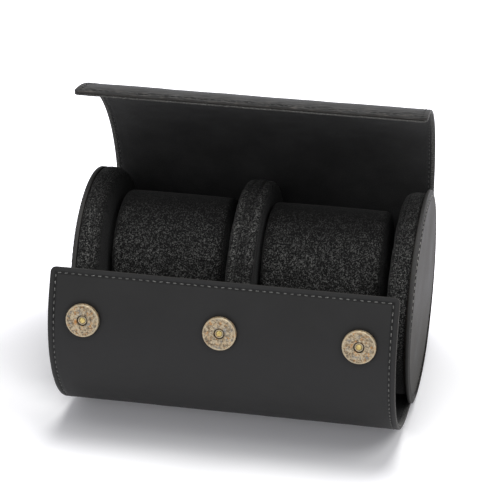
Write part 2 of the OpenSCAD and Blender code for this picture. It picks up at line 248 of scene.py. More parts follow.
def thread_material(name, dark, pale):
    """Waxed polyester thread, its plies twisted about 0.4 mm apart: each catches a dull light."""
    material, add = new_material(name)
    ply = add("TexNoise", Vector=places(add), Scale=2.6, Detail=2.0, Roughness=0.6)
    tone = two_tones(add, ply, 0.38, 0.62, dark, pale)
    return closed(material, add, ply, 0.4, 0.1, Base_Color=tone, Roughness=0.6)


def brass_material(name, dark, middle, pale, spots, metallic, roughness):
    """Antique brass plate, tumbled: brown tarnish lies in grains of about 1 mm over the dull metal, with
    copper-coloured and grey spots of 2 mm. It is pale where it is rubbed on its high points, with a painted
    highlight on a rim's crest, and painted shade makes it nearly black in its hollows."""
    material, add = new_material(name)
    at = places(add)
    patches = add("TexNoise", Vector=at, Scale=0.95, Detail=4.0, Roughness=0.75)
    blots = add("TexNoise", Vector=at, Scale=0.55, Detail=3.0, Roughness=0.8)
    # pale on the rubbed high points, with a painted highlight on a rim's crest
    wear_and_highlight, hollow_shade = (add("Attribute", attribute_name=layer).outputs["Fac"]
                       for layer in ("wear_and_highlight", "hollow_shade"))
    copper = add("ValToRGB", stops=[(0.56, 0.0), (0.66, spots)], Fac=blots)
    grey = add("ValToRGB", stops=[(0.34, spots), (0.44, 0.0)], Fac=blots)
    tone = add("ValToRGB", stops=[(0.36, dark), (0.48, middle), (0.60, pale), (0.72, middle)], Fac=patches)
    # painted shade: the last mix darkens the hollows nearly to black
    for share, over in ((copper, "#a8702f"), (grey, "#6d7072"), (wear_and_highlight, pale), (hollow_shade, "#15110d")):
        tone = add("Mix", {0: share, 6: tone, 7: over})
    rough = add("MapRange", Value=patches, From_Min=0.3, From_Max=0.7, To_Min=roughness + 0.1,
                To_Max=roughness - 0.08)
    return closed(material, add, patches, 0.3, 0.12, Base_Color=tone, Metallic=metallic, Roughness=rough)


def plain_material(name, dark, pale, per_mm, metallic, roughness):
    """Hidden stiffeners, foam and steel: two close tones in grains, so many to the millimetre."""
    material, add = new_material(name)
    grain = add("TexNoise", Vector=places(add), Scale=per_mm, Detail=4.0, Roughness=0.65)
    tone = two_tones(add, grain, 0.36, 0.66, dark, pale)
    return closed(material, add, grain, 0.3, 0.1, Base_Color=tone, Metallic=metallic, Roughness=roughness)


# the edge pairs are the cut fibres' tones, lightened as a painted highlight
LEATHER_WRAP = leather_material("waxed_cowhide", True, "#1a1a1a", "#212121", "#66605a",
                                ("#1a1918", "#302e2b"), 0.20)
LEATHER_DISC = leather_material("waxed_cowhide_disc", False, "#171614", "#33302c", "#50473e",
                                ("#30302f", "#464544"), 0.08)
SUEDE = lining_material()
VELVET = velvet_material()
THREAD_GREY = thread_material("waxed_thread_grey", "#2a2a29", "#70706d")
THREAD_PALE = thread_material("waxed_thread_pale", "#353533", "#9a9892")
THREAD_DARK = thread_material("waxed_thread_dark", "#1a1a1a", "#3c3c3b")
THREAD_BLACK = thread_material("waxed_thread_black", "#0c0c0c", "#222222")
BRASS_AGED = brass_material("antique_brass", "#4a3f30", "#83735a", "#b4a68b", 0.85, 0.4, 0.5)
BRASS_HUB = brass_material("yellow_brass", "#7c6a38", "#a8935a", "#c4b070", 0.25, 0.6, 0.42)
BOARD = plain_material("greyboard", "#7a6d59", "#948770", 0.9, 0.0, 0.9)
FOAM = plain_material("grey_foam", "#4c4c4a", "#666663", 1.6, 0.0, 0.95)
STEEL = plain_material("zinc_steel", "#8b8d90", "#b1b3b5", 0.5, 0.9, 0.4)

# ---------------- Meshes


def make_object(name, points, faces, material, layers=None, uv=None, normals=None):
    """A mesh object at the origin from points in mm and faces; layers hold one number per point."""
    mesh = bpy.data.meshes.new(name)
    mesh.from_pydata(points.reshape(-1, 3) * MM, [], faces)
    mesh.polygons.foreach_set("use_smooth", np.ones(len(mesh.polygons), bool))
    for key, values in (layers or {}).items():
        layer = mesh.attributes.new(key, "FLOAT", "POINT")
        layer.data.foreach_set("value", np.asarray(values, np.float32).ravel())
    if uv is not None:
        corners = np.zeros(len(mesh.loops), int)
        mesh.loops.foreach_get("vertex_index", corners)
        uv = uv.reshape(-1, 2)[corners].astype(np.float32)
        mesh.uv_layers.new(name="sheet").data.foreach_set("uv", uv.ravel())
    mesh.materials.append(material)
    mesh.validate()
    if normals is not None:
        mesh.normals_split_custom_set_from_vertices(normals.reshape(-1, 3))
    thing = bpy.data.objects.new(name, mesh)
    bpy.context.scene.collection.objects.link(thing)
    return thing


def dress(piece, nodes, body):
    """Hides the CAD nodes that a piece stands for, and hangs the piece on its body."""
    if nodes:
        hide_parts(*nodes)
    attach(piece, body)


def grid_faces(rows, columns, closed_rows=False, closed_columns=False):
    """Quads of a grid of points numbered row by row, joined round where it is closed."""
    r = np.arange(rows if closed_rows else rows - 1)[:, None]
    c = np.arange(columns if closed_columns else columns - 1)[None, :]
    c2, r, r2 = (c + 1) % columns, r * columns, (r + 1) % rows * columns
    return np.stack([r + c, r + c2, r2 + c2, r2 + c], -1).reshape(-1, 4)


def grid_normals(p):
    """Unit normals of a grid of points with closed rows: the cross product of its two directions."""
    normals = np.cross(np.roll(p, -1, 1) - np.roll(p, 1, 1), np.gradient(p, axis=0))
    return normals / np.maximum(np.linalg.norm(normals, axis=-1, keepdims=True), 1e-9)


def hump(x, centre, width, power=2):
    """A bell of height 1 at the centre: e to minus the distance over the width, to the power."""
    return np.exp(-((x - centre) / width) ** power)


def waves(p, length, seed, count=28):
    """Smooth noise of about -1..1 over points: a sum of plane waves near one length, each in a random
    direction."""
    pick = np.random.default_rng(seed)
    way = pick.normal(size=(count, p.shape[-1]))
    way *= (TURN / length * pick.uniform(0.6, 1.5, count) / np.linalg.norm(way, axis=1))[:, None]
    phase = pick.uniform(0, TURN, count)
    total = np.zeros(p.shape[:-1])
    for w, f in zip(way, phase):
        total += np.sin(p @ w + f)
    return total / math.sqrt(count)


def growing_steps(length, fine, coarse, reach):
    """Distances from 0 to length whose spacing grows from fine to coarse over the first reach."""
    steps, at = [0.0], 0.0
    while at < length:
        at += fine + (coarse - fine) * min(1.0, at / reach) ** 2
        steps.append(at)
    return np.array(steps) * (length / steps[-1])


def evenly(start, length, count):
    """The middles of count equal shares of a length."""
    return start + (np.arange(count) + 0.5) * length / count


# ---------------- The sheet


def sheet_curve():
    """The sheet's outer face in the YZ plane, as (t, heading, y, z): its curvature is constant in pieces
    along t, and is summed once for the heading and once more for the place; t = 0 is the frame's origin."""
    pieces = [*reversed(FLAP), (QUARTER, WRAP_RADIUS), *LID]
    ends = T_FRONT + np.cumsum([length for length, _ in pieces])
    bends = np.array([0.0 if radius == 0 else 1 / radius for _, radius in pieces])
    t = np.linspace(T_FRONT, T_BACK, CURVE_POINTS)
    k = bends[np.minimum(np.searchsorted(ends, (t[1:] + t[:-1]) / 2), len(bends) - 1)]
    d = np.diff(t)
    h = np.concatenate([[0], np.cumsum(k * d)])
    h -= np.interp(0, t, h)
    middle = (h[1:] + h[:-1]) / 2
    y, z = (np.concatenate([[0], np.cumsum(way(middle) * d)]) for way in (np.cos, np.sin))
    return t, h, y - np.interp(0, t, y), z - np.interp(0, t, z)


CURVE = sheet_curve()


def heading(t):
    """The sheet's slope at t, as an angle."""
    return np.interp(t, CURVE[0], CURVE[1])


def on_sheet(t, depth=0.0):
    """(y, z) at distance t along the sheet and depth under its outer face."""
    h, y, z = (np.interp(t, CURVE[0], values) for values in CURVE[1:])
    return y - depth * np.sin(h), z + depth * np.cos(h)


def lid_rise(t):
    """How far up the lid's slope the sheet is at t."""
    y, z = on_sheet(t)
    return -y * math.cos(LID_SLOPE) + z * math.sin(LID_SLOPE)


def half_width(t):
    """Half the sheet's width: the lid widens evenly up its slope to the flare, and its corners are round."""
    bend = QUARTER + LID_BENDS[1]
    low, high = lid_rise(bend), lid_rise(T_BACK)
    share = np.where(t > bend, np.clip((lid_rise(t) - low) / (high - low), 0, 1), 0)
    from_end = np.clip(np.minimum(t - T_FRONT, T_BACK - t), 0, CORNER)
    return (HALF_WIDTH + LID_FLARE * share - CORNER
            + np.sqrt(np.maximum(CORNER ** 2 - (CORNER - from_end) ** 2, 0)))


BENDS = [-b for b in reversed(FLAP_BENDS)] + [QUARTER + b for b in LID_BENDS]
STANDS_FOR = [["flap"], ["toe"], ["heel"], ["wrap"], ["lid_heel"], ["lid_back"], ["lid_bow", "lid_lip"]]
OUTSIDE_PIECES = 4                       # the first pieces, whose outer face is in the light; their outer stitches get the grey thread, and the lid's the dark thread as painted shade
# Each piece of the sheet has one bend line; neighbours meet halfway between their bend lines.
CUTS = [T_FRONT] + [(a + b) / 2 for a, b in zip(BENDS, BENDS[1:])] + [T_BACK]


def bend_sheet(piece, i):
    """Works out where piece i's bend begins and ends, which nothing uses, and bakes the piece's place into
    its mesh.
    """
    start, end = ((0, *(np.array(on_sheet(BENDS[i] + reach, SHEET / 2)) * MM))
                  for reach in (-BEND_REACH, BEND_REACH))
    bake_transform(piece)


def edge_distance(x, t):
    """Distance in mm from the nearest free edge of the sheet."""
    return np.minimum(half_width(t) - np.abs(x), np.minimum(t - T_FRONT, T_BACK - t))


def seam_relief(e):
    """Height of the face at a distance from its edge: the stitches pull down a groove between a full
    border and a low shoulder."""
    return -0.26 * hump(e, STITCH_INSET, 0.42) + 0.10 * hump(e, 1.2, 0.8) + 0.08 * hump(e, 3.9, 0.9)


def snap_relief(x, t):
    """The leather sinks under each socket and round its rim, and swells a little beyond it."""
    total = np.zeros(np.broadcast(x, t).shape)
    for i in (-1, 0, 1):
        r = np.hypot(x - i * SNAP_PITCH, t - (T_FRONT + SNAP_EDGE))
        total += -0.22 * hump(r, SNAP_RADIUS, 1.1) + 0.12 * hump(r, SNAP_RADIUS + 3.0, 1.8)
        total -= 0.35 * (r < SNAP_RADIUS)
    return total


def slow_waves(x, t, waviness):
    """Slow waves of the face, as (height, length, seed) rows, that die out within 3 mm of an edge."""
    at = np.stack(np.broadcast_arrays(x, t), -1)
    height = sum(height * waves(at, length, seed) for height, length, seed in waviness)
    return height * np.clip(edge_distance(x, t) / 3.0, 0, 1)


def leather_relief(x, t):
    """Height of the outer face: seams, snaps, slow waves, and small creases along the lid's free edge."""
    at = np.stack(np.broadcast_arrays(x, t), -1)
    creases = waves(at * [1.0, 2.6], 9.0, 5) * 0.20 + waves(at * [1.0, 3.0], 4.5, 6) * 0.08
    return (seam_relief(edge_distance(x, t)) + snap_relief(x, t)
            + slow_waves(x, t, ((0.10, 46.0, 3), (0.03, 14.0, 4))) + creases * hump(T_BACK - t, 1.0, 7.0))


def lining_relief(x, t):
    """Height of the inner face: seams, slow waves and a nap that is uneven by a thirtieth of a mm."""
    nap = waves(np.stack(np.broadcast_arrays(x, t), -1), 2.4, 10)
    return (seam_relief(edge_distance(x, t)) * 0.9 + slow_waves(x, t, ((0.12, 38.0, 8), (0.04, 9.0, 9)))
            + 0.035 * nap)


def rows_between(t0, t1):
    """Places of the rows of a piece: 1.5 mm apart, and finer near a free edge of the sheet."""
    t = np.linspace(t0, t1, int(round((t1 - t0) / 1.5)) + 1)
    near = growing_steps(8.0, 0.22, 1.4, 7.0)
    if t0 == T_FRONT:
        t = np.concatenate([t0 + near, t[t > t0 + 8.6]])
    if t1 == T_BACK:
        t = np.concatenate([t[t < t1 - 8.6], t1 - near[::-1]])
    return t


def slab_loop():
    """The outline of a layer across x, as (x, share of the thickness): over the worked face, down one
    round side, back under the other face, and up the other side. Also gives the worked face's points."""
    flat = HALF_WIDTH - 0.5
    spread = growing_steps(flat, 0.26, 2.2, 9.0)
    across = np.concatenate([-flat + spread, flat - spread[-2::-1]])
    turn = np.linspace(0, math.pi, 9)[1:-1]
    side = np.sin(turn) ** 0.7 * 0.5
    drop = (1 - np.cos(turn)) / 2
    back = across[::-3]
    loop_x = np.concatenate([across, flat + side, back, -flat - side])
    loop_share = np.concatenate([np.zeros(len(across)), drop, np.ones(len(back)), 1 - drop])
    return loop_x, loop_share[None, :], (np.arange(len(loop_x)) < len(across))[None, :]


def slab(name, t0, t1, top, under, relief, face_up, material):
    """A length of one layer: the flat loop of slab_loop carried along t, between the depths top and under.
    Near a free edge the thickness closes round its middle as a half circle. Where the piece meets its
    neighbour one more row is worked out for the normals only, so that the two are shaded alike."""
    before, after = int(t0 != T_FRONT), int(t1 != T_BACK)
    t = np.concatenate([[t0 - 1.5] * before, rows_between(t0, t1), [t1 + 1.5] * after])
    loop_x, loop_share, face = slab_loop()
    x = loop_x[None, :] * (half_width(t)[:, None] / HALF_WIDTH)
    tt = np.broadcast_to(t[:, None], x.shape)
    close = np.clip(1 - np.minimum(t - T_FRONT, T_BACK - t)[:, None] / 0.5, 0, 1)
    swell = np.sqrt(1 - close ** 3)
    share = 0.5 + (loop_share - 0.5) * swell
    lift = relief(x, tt) * face * swell
    depth = top + (under - top) * share - lift if face_up else under - (under - top) * share + lift
    p = np.stack([x, *on_sheet(tt, depth)], -1)
    normals = grid_normals(p) * (-1 if face_up else 1)
    e = edge_distance(x, tt)
    layers = {"border": np.clip((2.0 - e) / 0.6, 0, 1) * 0.55,
              "cut_edge": np.clip(1 - face + close ** 2 * 1.2, 0, 1) * (e < 1.2),
              # seam: painted shade along the stitch groove
              "seam": face * hump(e, STITCH_INSET, 0.7, 4),
              "creased": hump(T_BACK, tt, 11.0)}
    uv = np.stack([x + np.where(face, 0, 3.0 * loop_share), tt + np.where(face, 0, depth)], -1)
    rows = slice(before, len(t) - after)
    p, normals, uv = p[rows], normals[rows], uv[rows]
    count, columns = p.shape[:2]
    faces = grid_faces(count, columns, closed_columns=True)
    ends = []
    for row, outward in ((0, -1), (-1, 1)):     # the two cut ends have their own points and normals
        ring = np.arange(columns) + (count + len(ends)) * columns
        ends.append(ring[::-outward] if face_up else ring[::outward])
        h = heading(t[rows][row])
        flat = outward * np.array([0, np.cos(h), np.sin(h)])
        normals = np.concatenate([normals, np.tile(flat, (1, columns, 1))])
    p, uv = (np.concatenate([a, a[:1], a[count - 1:count]]) for a in (p, uv))
    layers = {key: np.concatenate([v[rows], v[rows][:1], v[rows][-1:]]) for key, v in layers.items()}
    faces = (faces[:, ::-1] if face_up else faces).tolist() + [end.tolist() for end in ends]
    return make_object(name, p, faces, material, layers, uv, normals)


def stitch_shape(length, width):
    """One stitch as a small bent tube: 7 rings of 6 points, sunk at both ends where the thread dives."""
    u = np.linspace(-1, 1, 7)
    radius = (width / 2 * np.sqrt(np.clip(1 - np.abs(u) ** 6, 0.02, 1)))[:, None]
    lift = (0.10 - 0.26 * u ** 4)[:, None]
    angle = np.linspace(0, TURN, 7)[:-1][None, :]
    along = np.broadcast_to((u * length / 2)[:, None], (7, 6))
    return np.stack([along, radius * np.cos(angle), lift + radius * np.sin(angle) * 0.8], -1).reshape(-1, 3)


STITCH_FACES = np.concatenate([grid_faces(7, 6, closed_columns=True)[:, ::-1],
                               [[0, 1, 2, 5], [5, 2, 3, 4], [36, 41, 38, 37], [41, 40, 39, 38]]])


def sew(name, place, forward, up, material, length=STITCH_LENGTH, width=THREAD):
    """One mesh of stitches: the small tube at each place, along forward and with up outward. Hand tension
    makes each stitch lean and vary in length a little."""
    count = len(place)
    forward = forward / np.linalg.norm(forward, axis=1, keepdims=True)
    up = up / np.linalg.norm(up, axis=1, keepdims=True)
    across = np.cross(up, forward)
    lean = rng.uniform(-0.16, 0.16, count)[:, None]
    forward, across = forward + across * lean, across - forward * lean
    scale = rng.uniform(0.88, 1.1, count)[:, None, None]
    shape = stitch_shape(length, width)[None]
    p = (place[:, None] + shape[..., 0:1] * forward[:, None] * scale + shape[..., 1:2] * across[:, None]
         + shape[..., 2:3] * up[:, None])
    faces = (STITCH_FACES[None] + shape.shape[1] * np.arange(count)[:, None, None]).reshape(-1, 4)
    return make_object(name, p, faces.tolist(), material)


def sheet_frame(t, depth):
    """Place, forward along t and outward normal of the sheet at t, as (n, 3) arrays with x = 0."""
    h, zero = heading(t), np.zeros_like(t)
    return (np.stack([zero, *on_sheet(t, depth)], -1), np.stack([zero, np.cos(h), np.sin(h)], -1),
            np.stack([zero, np.sin(h), -np.cos(h)], -1))


def sheet_stitches(name, t0, t1, face_up, material):
    """The stitch lines of one piece: up both sides, and across where the piece has the free edge."""
    length = T_BACK - T_FRONT - 2 * STITCH_INSET
    t = evenly(T_FRONT + STITCH_INSET, length, int(length // STITCH_PITCH))
    t = t[(t > t0) & (t < t1)]
    depth, outward = (0.12, 1) if face_up else (SHEET - 0.12, -1)
    centre, along, out = sheet_frame(t, depth)
    lines = []
    for side in (-1, 1):
        place = centre.copy()
        place[:, 0] = side * (half_width(t) - STITCH_INSET)
        lines.append((place, along, out * outward))
    for edge, own in ((T_FRONT + STITCH_INSET, t0 == T_FRONT), (T_BACK - STITCH_INSET, t1 == T_BACK)):
        if own:
            wide = float(half_width(np.array([edge]))[0]) - STITCH_INSET
            count = int(2 * wide // STITCH_PITCH)
            place, _, out = sheet_frame(np.full(count, edge), depth)
            place[:, 0] = evenly(-wide, 2 * wide, count)
            lines.append((place, np.tile([1.0, 0, 0], (count, 1)), out * outward))
    return sew(name, *(np.concatenate(parts) for parts in zip(*lines)), material)


for i, stands in enumerate(STANDS_FOR):
    label, (t0, t1) = stands[0], CUTS[i:i + 2]
    leather = slab(f"{label}_outer_leather", t0, t1, 0.0, LEATHER, leather_relief, True, LEATHER_WRAP)
    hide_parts(*[f"{s}_leather" for s in stands])
    suede = slab(f"{label}_inner_lining", t0, t1, LEATHER, SHEET, lining_relief, False, SUEDE)
    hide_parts(*[f"{s}_lining" for s in stands])
    # painted shade: one seam's thread is grey on the lit pieces and dark on the lid's
    outer_thread_by_light = THREAD_GREY if i < OUTSIDE_PIECES else THREAD_DARK
    outside = sheet_stitches(f"{label}_outer_stitches", t0, t1, True, outer_thread_by_light)
    inside = sheet_stitches(f"{label}_inner_stitches", t0, t1, False, THREAD_DARK)
    for piece, slot in ((leather, "leather"), (suede, "lining"), (outside, "leather"), (inside, "leather")):
        bend_sheet(piece, i)

# ---------------- Round pieces


def shell_faces(rows, columns, mirror):
    """Faces of a turned grid with a flat face at each end, turned round where the shape is mirrored."""
    ring = np.arange(columns)
    faces = [*grid_faces(rows, columns, closed_columns=True), ring[::-1], ring + (rows - 1) * columns]
    return [(face[::-1] if mirror else face).tolist() for face in faces]


def turned(name, profile, place, material, segments, layers, relief=None, mirror=False):
    """A profile of (radius, height) turned once about a line; place maps (height, a, b) to the frame.
    A flat face closes each end. Layers hold one number per profile point, or one per point."""
    r, h = (np.array(values)[:, None] for values in zip(*profile))
    angle = np.arange(segments) * TURN / segments
    local = np.stack([np.broadcast_to(h, (len(r), segments)), r * np.cos(angle), r * np.sin(angle)], -1)
    if relief is not None:
        local = relief(local)
    layers = {key: np.broadcast_to(v[:, None] if v.ndim == 1 else v, (len(r), segments))
              for key, v in layers.items()}
    return make_object(name, place(local), shell_faces(len(r), segments, mirror), material, layers)


def arc_points(centre, radius, start, end, count):
    """Points of a circular arc, angles in degrees."""
    return [(centre[0] + radius * math.cos(a), centre[1] + radius * math.sin(a))
            for a in np.radians(np.linspace(start, end, count))]


def wall_shift(side, z):
    """The right wall stands a little proud of the wrap; both lean out towards their tops, and the left
    is pressed in a little low down. The divider, side 0, is true."""
    return (1.8 + 0.015 * z) * (side > 0) - np.clip(0.03 * z - 0.45, -0.6, 1.0) * (side < 0)


def about_axis(side, local, shift=0.0):
    """Places a shape about the axis of the end walls, with height outward along +X or -X."""
    return np.stack([side * local[..., 0] + shift, local[..., 1], AXIS_Z + local[..., 2]], -1)


def on_wall(side, local):
    """The same with the shift of an end wall."""
    return about_axis(side, local, wall_shift(side, local[..., 2]))


def puff(thing, held, pressure, reach):
    """Blows the closed shell up with Blender's cloth, held at its seams, and lets no point move further
    than reach mm: a move becomes reach times the tanh of move over reach. The cloth is worked out 20
    times as large as life, where the solver is steady."""
    mesh = thing.data
    big = 20.0
    rest = np.zeros(len(mesh.vertices) * 3)
    mesh.vertices.foreach_get("co", rest)
    mesh.vertices.foreach_set("co", rest * big)
    group = thing.vertex_groups.new(name="seams")
    group.add([int(v) for v in held], 1.0, "REPLACE")
    cloth = thing.modifiers.new("Cloth", "CLOTH")
    cloth.point_cache.frame_start, cloth.point_cache.frame_end = 1, 20
    settings = {"quality": 6, "mass": 0.3, "tension_stiffness": 18, "compression_stiffness": 18,
                "shear_stiffness": 6, "bending_stiffness": 0.6, "vertex_group_mass": "seams",
                "use_pressure": True, "uniform_pressure_force": pressure}
    for key, value in settings.items():
        setattr(cloth.settings, key, value)
    cloth.settings.effector_weights.gravity = 0
    scene = bpy.context.scene
    for step in range(1, 21):
        scene.frame_set(step)
    blown = thing.evaluated_get(bpy.context.evaluated_depsgraph_get()).data
    co = np.zeros(len(rest))
    blown.vertices.foreach_get("co", co)
    move = (co / big - rest).reshape(-1, 3)
    far = np.linalg.norm(move, axis=1, keepdims=True)
    limit = reach * MM
    move *= np.tanh(far / limit) * limit / np.maximum(far, 1e-9)
    thing.modifiers.remove(cloth)
    thing.vertex_groups.clear()
    mesh.vertices.foreach_set("co", (rest.reshape(-1, 3) + move).ravel())
    mesh.update()
    scene.frame_set(1)


def finer(grid, ring):
    """A grid made four times as fine along its first axis, which may be a ring, by Catmull-Rom curves
    through its points."""
    if ring:
        p = np.concatenate([grid[-1:], grid, grid[:2]])
    else:
        p = np.concatenate([2 * grid[:1] - grid[1:2], grid, 2 * grid[-1:] - grid[-2:-1]])
    a, b, c, d = p[:-3, None], p[1:-2, None], p[2:-1, None], p[3:, None]
    u = (np.arange(4) / 4).reshape(1, -1, *[1] * (grid.ndim - 1))
    fine = 0.5 * (2 * b + (c - a) * u + (2 * a - 5 * b + 4 * c - d) * u ** 2
                  + (3 * b - a - 3 * c + d) * u ** 3).reshape(-1, *grid.shape[1:])
    return fine if ring else np.concatenate([fine, grid[-1:]])


def napped(thing, segments, mirror, amount, length, seed):
    """Makes a turned piece four times as fine each way, then moves every point along its normal by fine
    noise: an uneven pile."""
    mesh = thing.data
    count = len(mesh.vertices)
    co, nap = np.zeros(count * 3), np.zeros(count)
    mesh.vertices.foreach_get("co", co)
    mesh.attributes["nap"].data.foreach_get("value", nap)
    grid = np.concatenate([co.reshape(-1, segments, 3) / MM, nap.reshape(-1, segments, 1)], -1)
    grid = finer(finer(grid, False).swapaxes(0, 1), True).swapaxes(0, 1)
    p = grid[..., :3]
    outward = grid_normals(p) * (-1 if mirror else 1)
    pile = waves(p, length, seed) * 0.6 + waves(p, length * 0.5, seed + 1) * 0.4
    p = p + outward * (pile * amount)[..., None]
    fine = make_object("fine", p, shell_faces(*p.shape[:2], mirror), mesh.materials[0],
                       {"nap": np.clip(grid[..., 3], 0, 1)})
    thing.data, name = fine.data, mesh.name
    bpy.data.objects.remove(fine)
    bpy.data.meshes.remove(mesh)
    thing.data.name = name


WALL_SEGMENTS = 112                      # points round a pad or the divider, before the pile


def velvet(name, node, profile, place, nap, pile, held=(), puffed=(), mirror=False, segments=WALL_SEGMENTS,
           body="case"):
    """A turned velvet piece, blown up between its held rows by puffed = (pressure, reach), and given its
    pile = (amount, length, seed). Nap is the painted light and shade of its pale specks."""
    piece = turned(name, profile, place, VELVET, segments, {"nap": nap}, mirror=mirror)
    if held:
        rings = [np.arange(segments) + row % len(profile) * segments for row in held]
        puff(piece, np.concatenate(rings), *puffed)
    napped(piece, segments, mirror, *pile)
    dress(piece, [node], body)


def end_pad(side, name):
    """Velvet pad of an end wall: crowned inner face, round edge, a sewn seam round the rim, and a rim
    that dips where the leather disc is glued on."""
    R = WALL_RADIUS
    profile = [(0.6, PAD_IN + 0.1)]
    profile += [(r, PAD_IN + 0.1 + 0.25 * (r / R) ** 4) for r in np.linspace(4, R - 4.2, 15)]
    profile += [(R - 0.55 + 2.6 * math.cos(a) - 2.6, PAD_IN + 2.75 + 2.4 * math.sin(a))
                for a in map(math.radians, (-72, -50, -26))]
    seam_row = len(profile) + 2
    profile += [(R - 0.15, PAD_SEAM - 1.0), (R - 0.30, PAD_SEAM - 0.4), (R - 1.0, PAD_SEAM),
                (R - 0.30, PAD_SEAM + 0.4), (R - 0.08, PAD_SEAM + 1.2), (R, PAD_SEAM + 2.6),
                (R - 0.05, PAD_OUT - 1.6), (R - 0.35, PAD_OUT - 0.6), (R - 1.3, PAD_OUT - 0.1)]
    profile += [(r, PAD_OUT - 0.05) for r in (R - 4, R * 0.6, R * 0.3, 0.6)]
    radii, heights = np.array(profile).T
    # painted light and shade: the specks are strong on the rim, which faces the light, and dark on the inner
    # face, in the compartment's shade
    nap = np.clip((radii / R - 0.86) / 0.1, 0.12, 0.78)
    nap *= 0.2 + 0.8 * np.clip((heights - PAD_IN) / 2.0, 0, 1)
    # painted shade: the pale specks are kept dark low down, where the flap and the floor shade the rim, and
    # over the top
    level = R * np.sin(np.arange(WALL_SEGMENTS) * TURN / WALL_SEGMENTS)
    painted_shade_by_height = np.clip((level + 26) / 40, 0.15, 1) * (1 - 0.5 * np.clip((level - 30) / 14, 0, 1))
    velvet(f"end_pad_velvet_{name}", f"end_pad_{name}", profile, partial(on_wall, side),
           nap[:, None] * painted_shade_by_height[None, :], (0.07, 1.5, 20 + side), (*range(8), seam_row, *range(-5, 0)),
           (3.0, 0.45), side < 0)


def fuller(side, y, z):
    """The right disc is cut fuller low down at its front: the radius grows there by up to 3.5% at the
    edge, falling off as the fourth power of the radius."""
    edge = np.clip(np.hypot(y, z) / WALL_RADIUS, 0, 1.05) ** 4
    return 1 + 0.035 * (side > 0) * edge * hump(np.degrees(np.arctan2(z, -y)), -60, 20)


def ring_stitches(name, radius, x, count, material, length, width, on_rim=False):
    """Stitches round a circle about the axis of the end walls: on the flat side, with up along X, or on
    the rim, with up away from the axis."""
    a = evenly(0, TURN, count)
    cos, sin, zero = np.cos(a), np.sin(a), np.zeros(count)
    shift = wall_shift(np.sign(x) * (abs(x) > PAD_IN), radius * sin)
    wide = radius if on_rim else fuller(np.sign(x), radius * cos, radius * sin) * radius
    place = np.stack([x + shift, wide * cos, AXIS_Z + wide * sin], -1)
    up = np.stack([zero, cos, sin], -1) if on_rim else np.tile([float(np.sign(x)), 0, 0], (count, 1))
    thread = sew(name, place, np.stack([zero, -sin, cos], -1), up, material, length, width)
    dress(thread, [], "case")


def rim_stitches(name, x):
    """The black stitches round the seam of a pad or of the divider."""
    ring_stitches(name, WALL_RADIUS - 0.55, x, RIM_STITCHES, THREAD_BLACK, 1.7, 0.42, on_rim=True)


def end_disc(side, name):
    """Leather disc on an end wall: a full face, grooved where it is sewn and painted dark in the groove as
    shade, its border pressed down to a rounded edge whose cut fibres show, painted paler as a highlight. The
    right disc laps over the wrap's edge, and stays clear of it."""
    lap = 1.9 if side > 0 else 0.0
    under = 0.45 if lap else 0.1
    R = WALL_RADIUS + lap
    profile = [(0.6, PAD_OUT), (R * 0.5, PAD_OUT), (R - lap - 0.5, PAD_OUT), (R - lap - 0.1, PAD_OUT + 0.05)]
    if lap:
        profile += [(R - lap, PAD_OUT + 0.3), (R - lap + 0.1, PAD_OUT + 0.4)]
    profile += [(R - 0.15, PAD_OUT + under), (R, PAD_OUT + under + 0.1), (R, DISC_OUT - 0.50),
                (R - 0.08, DISC_OUT - 0.42), (R - 0.25, DISC_OUT - 0.36)]
    full = DISC_OUT + 0.45
    inward = (0.55, 0.9, 1.3, 1.7, 2.0, 2.2, 2.4, 2.6, 2.8, 3.1, 3.6, 4.4, 5.5, 8, 12, 20, 30.0)
    profile += [(R - v, full + float(seam_relief(v)) * 0.9 - 0.85 * max(0.0, (3.6 - v) / 3.3) ** 1.1)
                for v in inward]
    profile += [(9.0, full + 0.05), (0.6, full + 0.05)]
    radii, heights = np.array(profile).T
    inward = R - radii
    # painted shade: dark in the sewn groove, and half as dark on the pressed border outside it
    seam = np.clip(hump(inward, STITCH_INSET, 0.55) + 0.5 * (inward < STITCH_INSET), 0, 0.9)
    layers = {"border": np.zeros(len(radii)),
              "cut_edge": ((inward < 0.3) & (heights < DISC_OUT - 0.2)) * 1.0,
              "seam": seam * (heights > DISC_OUT - 0.5),
              "creased": np.full(len(radii), 0.35)}

    def relief(local):
        """Slow waves of the face, which die out within 6 mm of its edge."""
        wave = 0.08 * waves(local, 30.0, 31) * (local[..., 0] > DISC_OUT - 0.3)
        local[..., 0] += wave * np.clip((R - np.hypot(local[..., 1], local[..., 2])) / 6, 0, 1)
        return local

    def place(local):
        """The wall's place, fuller, clear of the wrap's edge, and above the floor."""
        wide = fuller(side, local[..., 1], local[..., 2])[..., None]
        local = local * np.concatenate([np.ones_like(wide), wide, wide], -1)
        p = on_wall(side, local)
        over = np.hypot(local[..., 1], local[..., 2]) > WALL_RADIUS + 0.05
        clear = HALF_WIDTH + 0.15 + np.maximum(local[..., 0] - (PAD_OUT + under), 0)
        p[..., 0] = np.where(over & (side > 0), np.maximum(p[..., 0], clear), p[..., 0])
        p[..., 2] = np.maximum(p[..., 2], 0.05)
        return p
    disc = turned(f"end_disc_leather_{name}", profile, place, LEATHER_DISC, 160, layers, relief, side < 0)
    dress(disc, [f"end_disc_{name}"], "case")
    count = int(TURN * (R - STITCH_INSET) / STITCH_PITCH)
    ring_stitches(f"end_disc_stitches_{name}", R - STITCH_INSET, side * (DISC_OUT + 0.1), count,
                  THREAD_PALE, 1.9, 0.6)
    rim_stitches(f"end_pad_stitches_{name}", side * PAD_SEAM)


